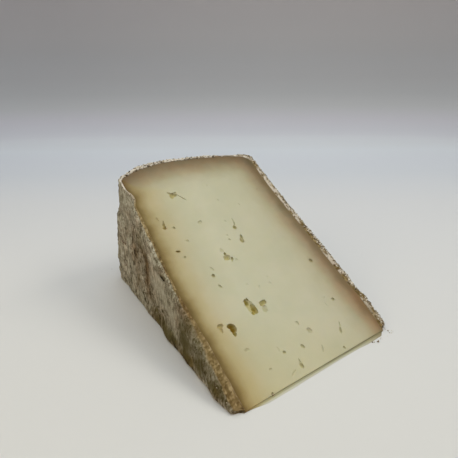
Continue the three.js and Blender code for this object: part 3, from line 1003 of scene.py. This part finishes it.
def paste_material():
    mat = Shader("paste_finish", 0.5, 0.3, PASTE_GLOW)
    waver = mat.swing(mat.noise(6), FADE_WAVER / FADE_REACH)
    fades = {}
    for side, stops in FADES.items():
        place = mat.plus(mat.value(side), waver, clamp=True)
        fades[side] = mat.ramp(place, [(far / FADE_REACH, *left) for far, *left in stops])
    darkest = product = fades["left"]
    for side in ("right", "rim"):
        darkest = mat.blend(1, darkest, fades[side], "DARKEN")
        product = mat.tinted(product, fades[side])
    colour = mat.tinted(PASTE_COLOUR, mat.ramp(mat.noise(16, 4), MOTTLE))
    colour = mat.tinted(colour, mat.blend(0.45, darkest, product))
    right = mat.value("right")
    by_rind = mat.spread(mat.math("MINIMUM", right, mat.value("rim")), 0.3, 0)
    colour = mat.tinted(colour, mat.ramp(mat.noise(7, 2), FADE_HUES), by_rind)
    low = mat.spread(mat.value("base"), 0.9, 0.3)
    low_right = mat.times(mat.spread(right, 0.2, 0), low)
    colour = mat.tinted(colour, LOW_RIGHT_TINT, low_right)
    colour = mat.tinted(colour, fades["thin"])
    # Down in an eye the paste turns ochre and darker: partly its own colour, partly painted shade in the
    # pit.
    depth = mat.spread(mat.value("hollow"), 0, HOLLOW_REACH)
    colour = mat.tinted(colour, mat.ramp(depth, HOLLOW_TINT_AND_SHADE_STOPS))
    # Painted shade in the crease along the thin edge.
    colour = mat.coat(colour, "crease_shade", 0.85, CREASE_SHADE_COLOUR)
    # The lip's colour is painted soft shadow and yellow glow on the floor, with painted shadow near the
    # right end.
    lip_shadow_glow = mat.tinted(LIP_SHADOW_GLOW_COLOUR, fades["right"], 0.6)
    lip_shadow_glow = mat.tinted(lip_shadow_glow, LIP_RIGHT_SHADOW_TINT, mat.spread(right, 0.6, 0.05))
    colour = mat.blend(mat.value("lip"), colour, lip_shadow_glow)
    grain = mat.plus(mat.noise(0.7), mat.times(mat.noise(4.5, 2), 1.4))
    return mat.finish(colour, grain, 0.18, 0.12)


# The crust's tones from its hollows to its crests, partly its own and partly painted shade in the hollows
# and light on the crests, the tones of its cut section, and what tints them.
CRUST_TONE_AND_SHADE_STOPS = ramp_stops(
    (0.0, 58, 48, 30), (0.25, 104, 92, 69), (0.5, 149, 138, 116), (0.75, 184, 174, 152),
    (1.0, 212, 203, 182),
)
CRUST_HUES = [(0.35, 1.05, 0.98, 0.93), (0.5, 1, 1, 1), (0.65, 0.97, 1.0, 0.97)]
SECTION_STOPS = ramp_stops((0.0, 91, 70, 41), (0.3, 119, 98, 59), (0.6, 146, 124, 83), (1.0, 188, 167, 124))
STAIN_TINT = (0.34, 0.28, 0.13, 1)
OLIVE_COLOUR = tint(86, 75, 36)
BROWN_TINT = (0.68, 0.52, 0.4, 1)
DUST_COLOUR = tint(190, 180, 156)
LINE_COLOUR = tint(104, 78, 36)
CREAM_COLOUR = tint(240, 229, 214)


def rind_material():
    mat = Shader("rind_finish", 0.82, 0.12)
    crest_tone_and_shade = mat.value("crest_tone_and_shade")
    speckle = mat.noise(0.5)
    tone = mat.plus(crest_tone_and_shade, mat.swing(speckle, 0.13, 0.25))
    tone = mat.plus(tone, mat.swing(mat.noise(0.7, 2, (1, 1, 0.25)), 0.38, 0.25))
    tone = mat.plus(tone, mat.swing(mat.noise(5, 3, (1, 1, 0.5)), 0.1), clamp=True)
    skin = mat.tinted(mat.ramp(tone, CRUST_TONE_AND_SHADE_STOPS), mat.ramp(mat.noise(8), CRUST_HUES))
    skin = mat.tinted(skin, STAIN_TINT, mat.value("stain"))
    skin = mat.coat(skin, "olive", 0.82, OLIVE_COLOUR)
    skin = mat.coat(skin, "dust", 0.6, DUST_COLOUR)
    crumb = mat.value("crumb")
    grain = mat.spread(crest_tone_and_shade, 0.25, 0.75, -0.2, 0.45)
    cut = mat.ramp(mat.plus(mat.times(crumb, 0.55), grain, clamp=True), SECTION_STOPS)
    cream = mat.times(mat.value("cream"), mat.spread(crumb, 0.1, 0.3))
    cut = mat.blend(cream, cut, CREAM_COLOUR)
    colour = mat.blend(mat.value("section"), skin, cut)
    colour = mat.tinted(colour, BROWN_TINT, mat.value("brown"))
    colour = mat.coat(colour, "line", 0.9, LINE_COLOUR)
    return mat.finish(colour, mat.plus(speckle, mat.noise(0.22, 2)), 0.5, 0.25)


GRAIN_STOPS = ramp_stops(
    (0.0, 64, 52, 38), (0.25, 108, 92, 70), (0.55, 156, 138, 110), (0.8, 200, 185, 160),
    (1.0, 238, 230, 216),
)


def grain_material():
    mat = Shader("grain_finish", 0.85, 0.3)
    speckle = mat.noise(0.3, 2)
    tone = mat.plus(mat.value("tone"), mat.swing(speckle, 0.15), clamp=True)
    return mat.finish(mat.ramp(tone, GRAIN_STOPS), speckle, 0.4, 0.15)


# The floor's tones by metres ahead of the object, and the wall's by metres up.
FLOOR_STOPS = ramp_stops(
    (-0.08, 224, 221, 217), (0.12, 218, 217, 218), (0.2, 214, 216, 221), (0.24, 217, 219, 225),
    (0.29, 223, 226, 231), (0.32, 221, 223, 227),
)
WALL_FOOT = 0.006
WALL_STOPS = ramp_stops(
    (0.004, 214, 214, 219), (0.01, 206, 205, 211), (0.02, 200, 197, 203), (0.035, 187, 186, 187),
    (0.05, 178, 177, 178), (0.07, 175, 173, 174), (0.09, 176, 174, 175), (0.12, 180, 176, 176),
    (0.16, 177, 171, 171),
)


def floor_material():
    """A floor that cools a little into the distance, and a greyer wall behind."""
    mat = Shader("floor_finish", 0.9, 0.2)
    apart = mat.add("SeparateXYZ", {"Vector": mat.place}).outputs
    across = mat.times(apart["X"], math.sin(HEADING))
    ahead = mat.plus(across, mat.times(apart["Y"], math.cos(HEADING)))
    ramps = []
    for way, stops in ((ahead, FLOOR_STOPS), (apart["Z"], WALL_STOPS)):
        low, high = stops[0][0], stops[-1][0]
        shares = [((place - low) / (high - low), *tone) for place, *tone in stops]
        ramps.append(mat.ramp(mat.spread(way, low, high), shares))
    mat.put(mat.surface["Base Color"], mat.blend(mat.spread(apart["Z"], 0, WALL_FOOT), *ramps))
    return mat.material


def floor_piece():
    """A pale floor that sweeps up into a wall all round, square to the camera's heading."""
    sides, rings, power, sweep = (FLOOR[key] for key in ("sides", "rings", "squareness", "sweep"))

    # run goes to 1 over the flat floor, to 2 up the sweep and to 3 up the wall.
    run = np.repeat(np.arange(1, rings + 1) * 3 / rings, sides)
    turn = np.clip(run - 1, 0, 1) * math.pi / 2
    reach = np.minimum(run, 1) * FLOOR["reach"] + sweep * np.sin(turn)
    height = sweep * (1 - np.cos(turn)) + np.maximum(run - 2, 0) * (FLOOR["height"] - sweep)
    angle = np.tile(np.arange(sides) * 2 * math.pi / sides, rings)
    reach /= (np.abs(np.cos(angle)) ** power + np.abs(np.sin(angle)) ** power) ** (1 / power)
    angle -= HEADING
    points = np.stack([reach * np.cos(angle), reach * np.sin(angle), height], axis=1) + MIDDLE
    numbers = np.arange(rings * sides).reshape(rings, sides)
    after = np.roll(numbers, -1, axis=1)
    walls = np.stack([numbers[:-1], numbers[1:], after[1:], after[:-1]], axis=-1).reshape(-1, 4)
    faces = [numbers[0].tolist(), *walls.tolist()]
    piece = make_piece("floor", points, faces)
    piece.data.materials.append(floor_material())


# The even light from all round, and the soft lamps: name, place in metres, size, how wide its light
# fans out in degrees, power and colour. All aim at the wedge's middle on the floor.
SKY = {"Color": (0.94, 0.98, 1.0, 1), "Strength": 0.06}
LAMPS = [
    ("right", (0.40, -0.30, 0.40), 0.5, 180, 3.7, (1.0, 0.96, 0.84)),
    ("top", (0.03, 0.02, 0.70), 0.8, 180, 2.55, (0.77, 0.88, 0.95)),
    ("left", (-0.36, 0.08, 0.32), 0.4, 110, 0.19, (1.0, 0.86, 0.54)),
    ("back", (0.05, 0.42, 0.55), 0.6, 180, 0.64, (1, 1, 1)),
    ("front", (-0.25, -0.35, 0.45), 0.5, 180, 0.43, (1, 1, 1)),
]


def lights():
    world = bpy.data.worlds.new("studio")
    bpy.context.scene.world = world
    world.use_nodes = True
    for key, value in SKY.items():
        world.node_tree.nodes["Background"].inputs[key].default_value = value
    for name, place, size, fan, power, colour in LAMPS:
        light = bpy.data.lights.new(name, "AREA")
        light.shape = "DISK"
        light.size = size
        light.spread = math.radians(fan)
        light.energy = power
        light.color = colour
        lamp = in_scene(name, light)
        lamp.location = place
        lamp.rotation_euler = (-Vector(place)).to_track_quat("-Z", "Y").to_euler()


def camera():
    pitch, roll = math.radians(CAMERA["pitch"]), math.radians(CAMERA["roll"])
    data = bpy.data.cameras.new("camera")
    data.lens = CAMERA["lens"]
    data.clip_start = 0.01
    eye = in_scene("camera", data)
    eye.matrix_world = Matrix.Translation(Vector(CAMERA["place"]) * MM)
    for angle, axis in ((-HEADING, "Z"), (math.pi / 2 - pitch, "X"), (-roll, "Z")):
        eye.matrix_world = eye.matrix_world @ Matrix.Rotation(angle, 4, axis)
    bpy.context.scene.camera = eye


def dress(piece, material):
    piece.data.materials.append(material)
    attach(piece, BODY)
    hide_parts(NODE)


bpy.context.scene.view_settings.view_transform = "Standard"
camera()
lights()
floor_piece()
rind, *rind_skin = rind_piece()
dress(rind, rind_material())
dress(paste_piece(), paste_material())
dress(grain_piece(*rind_skin), grain_material())
dress(crumb_piece(), grain_material())
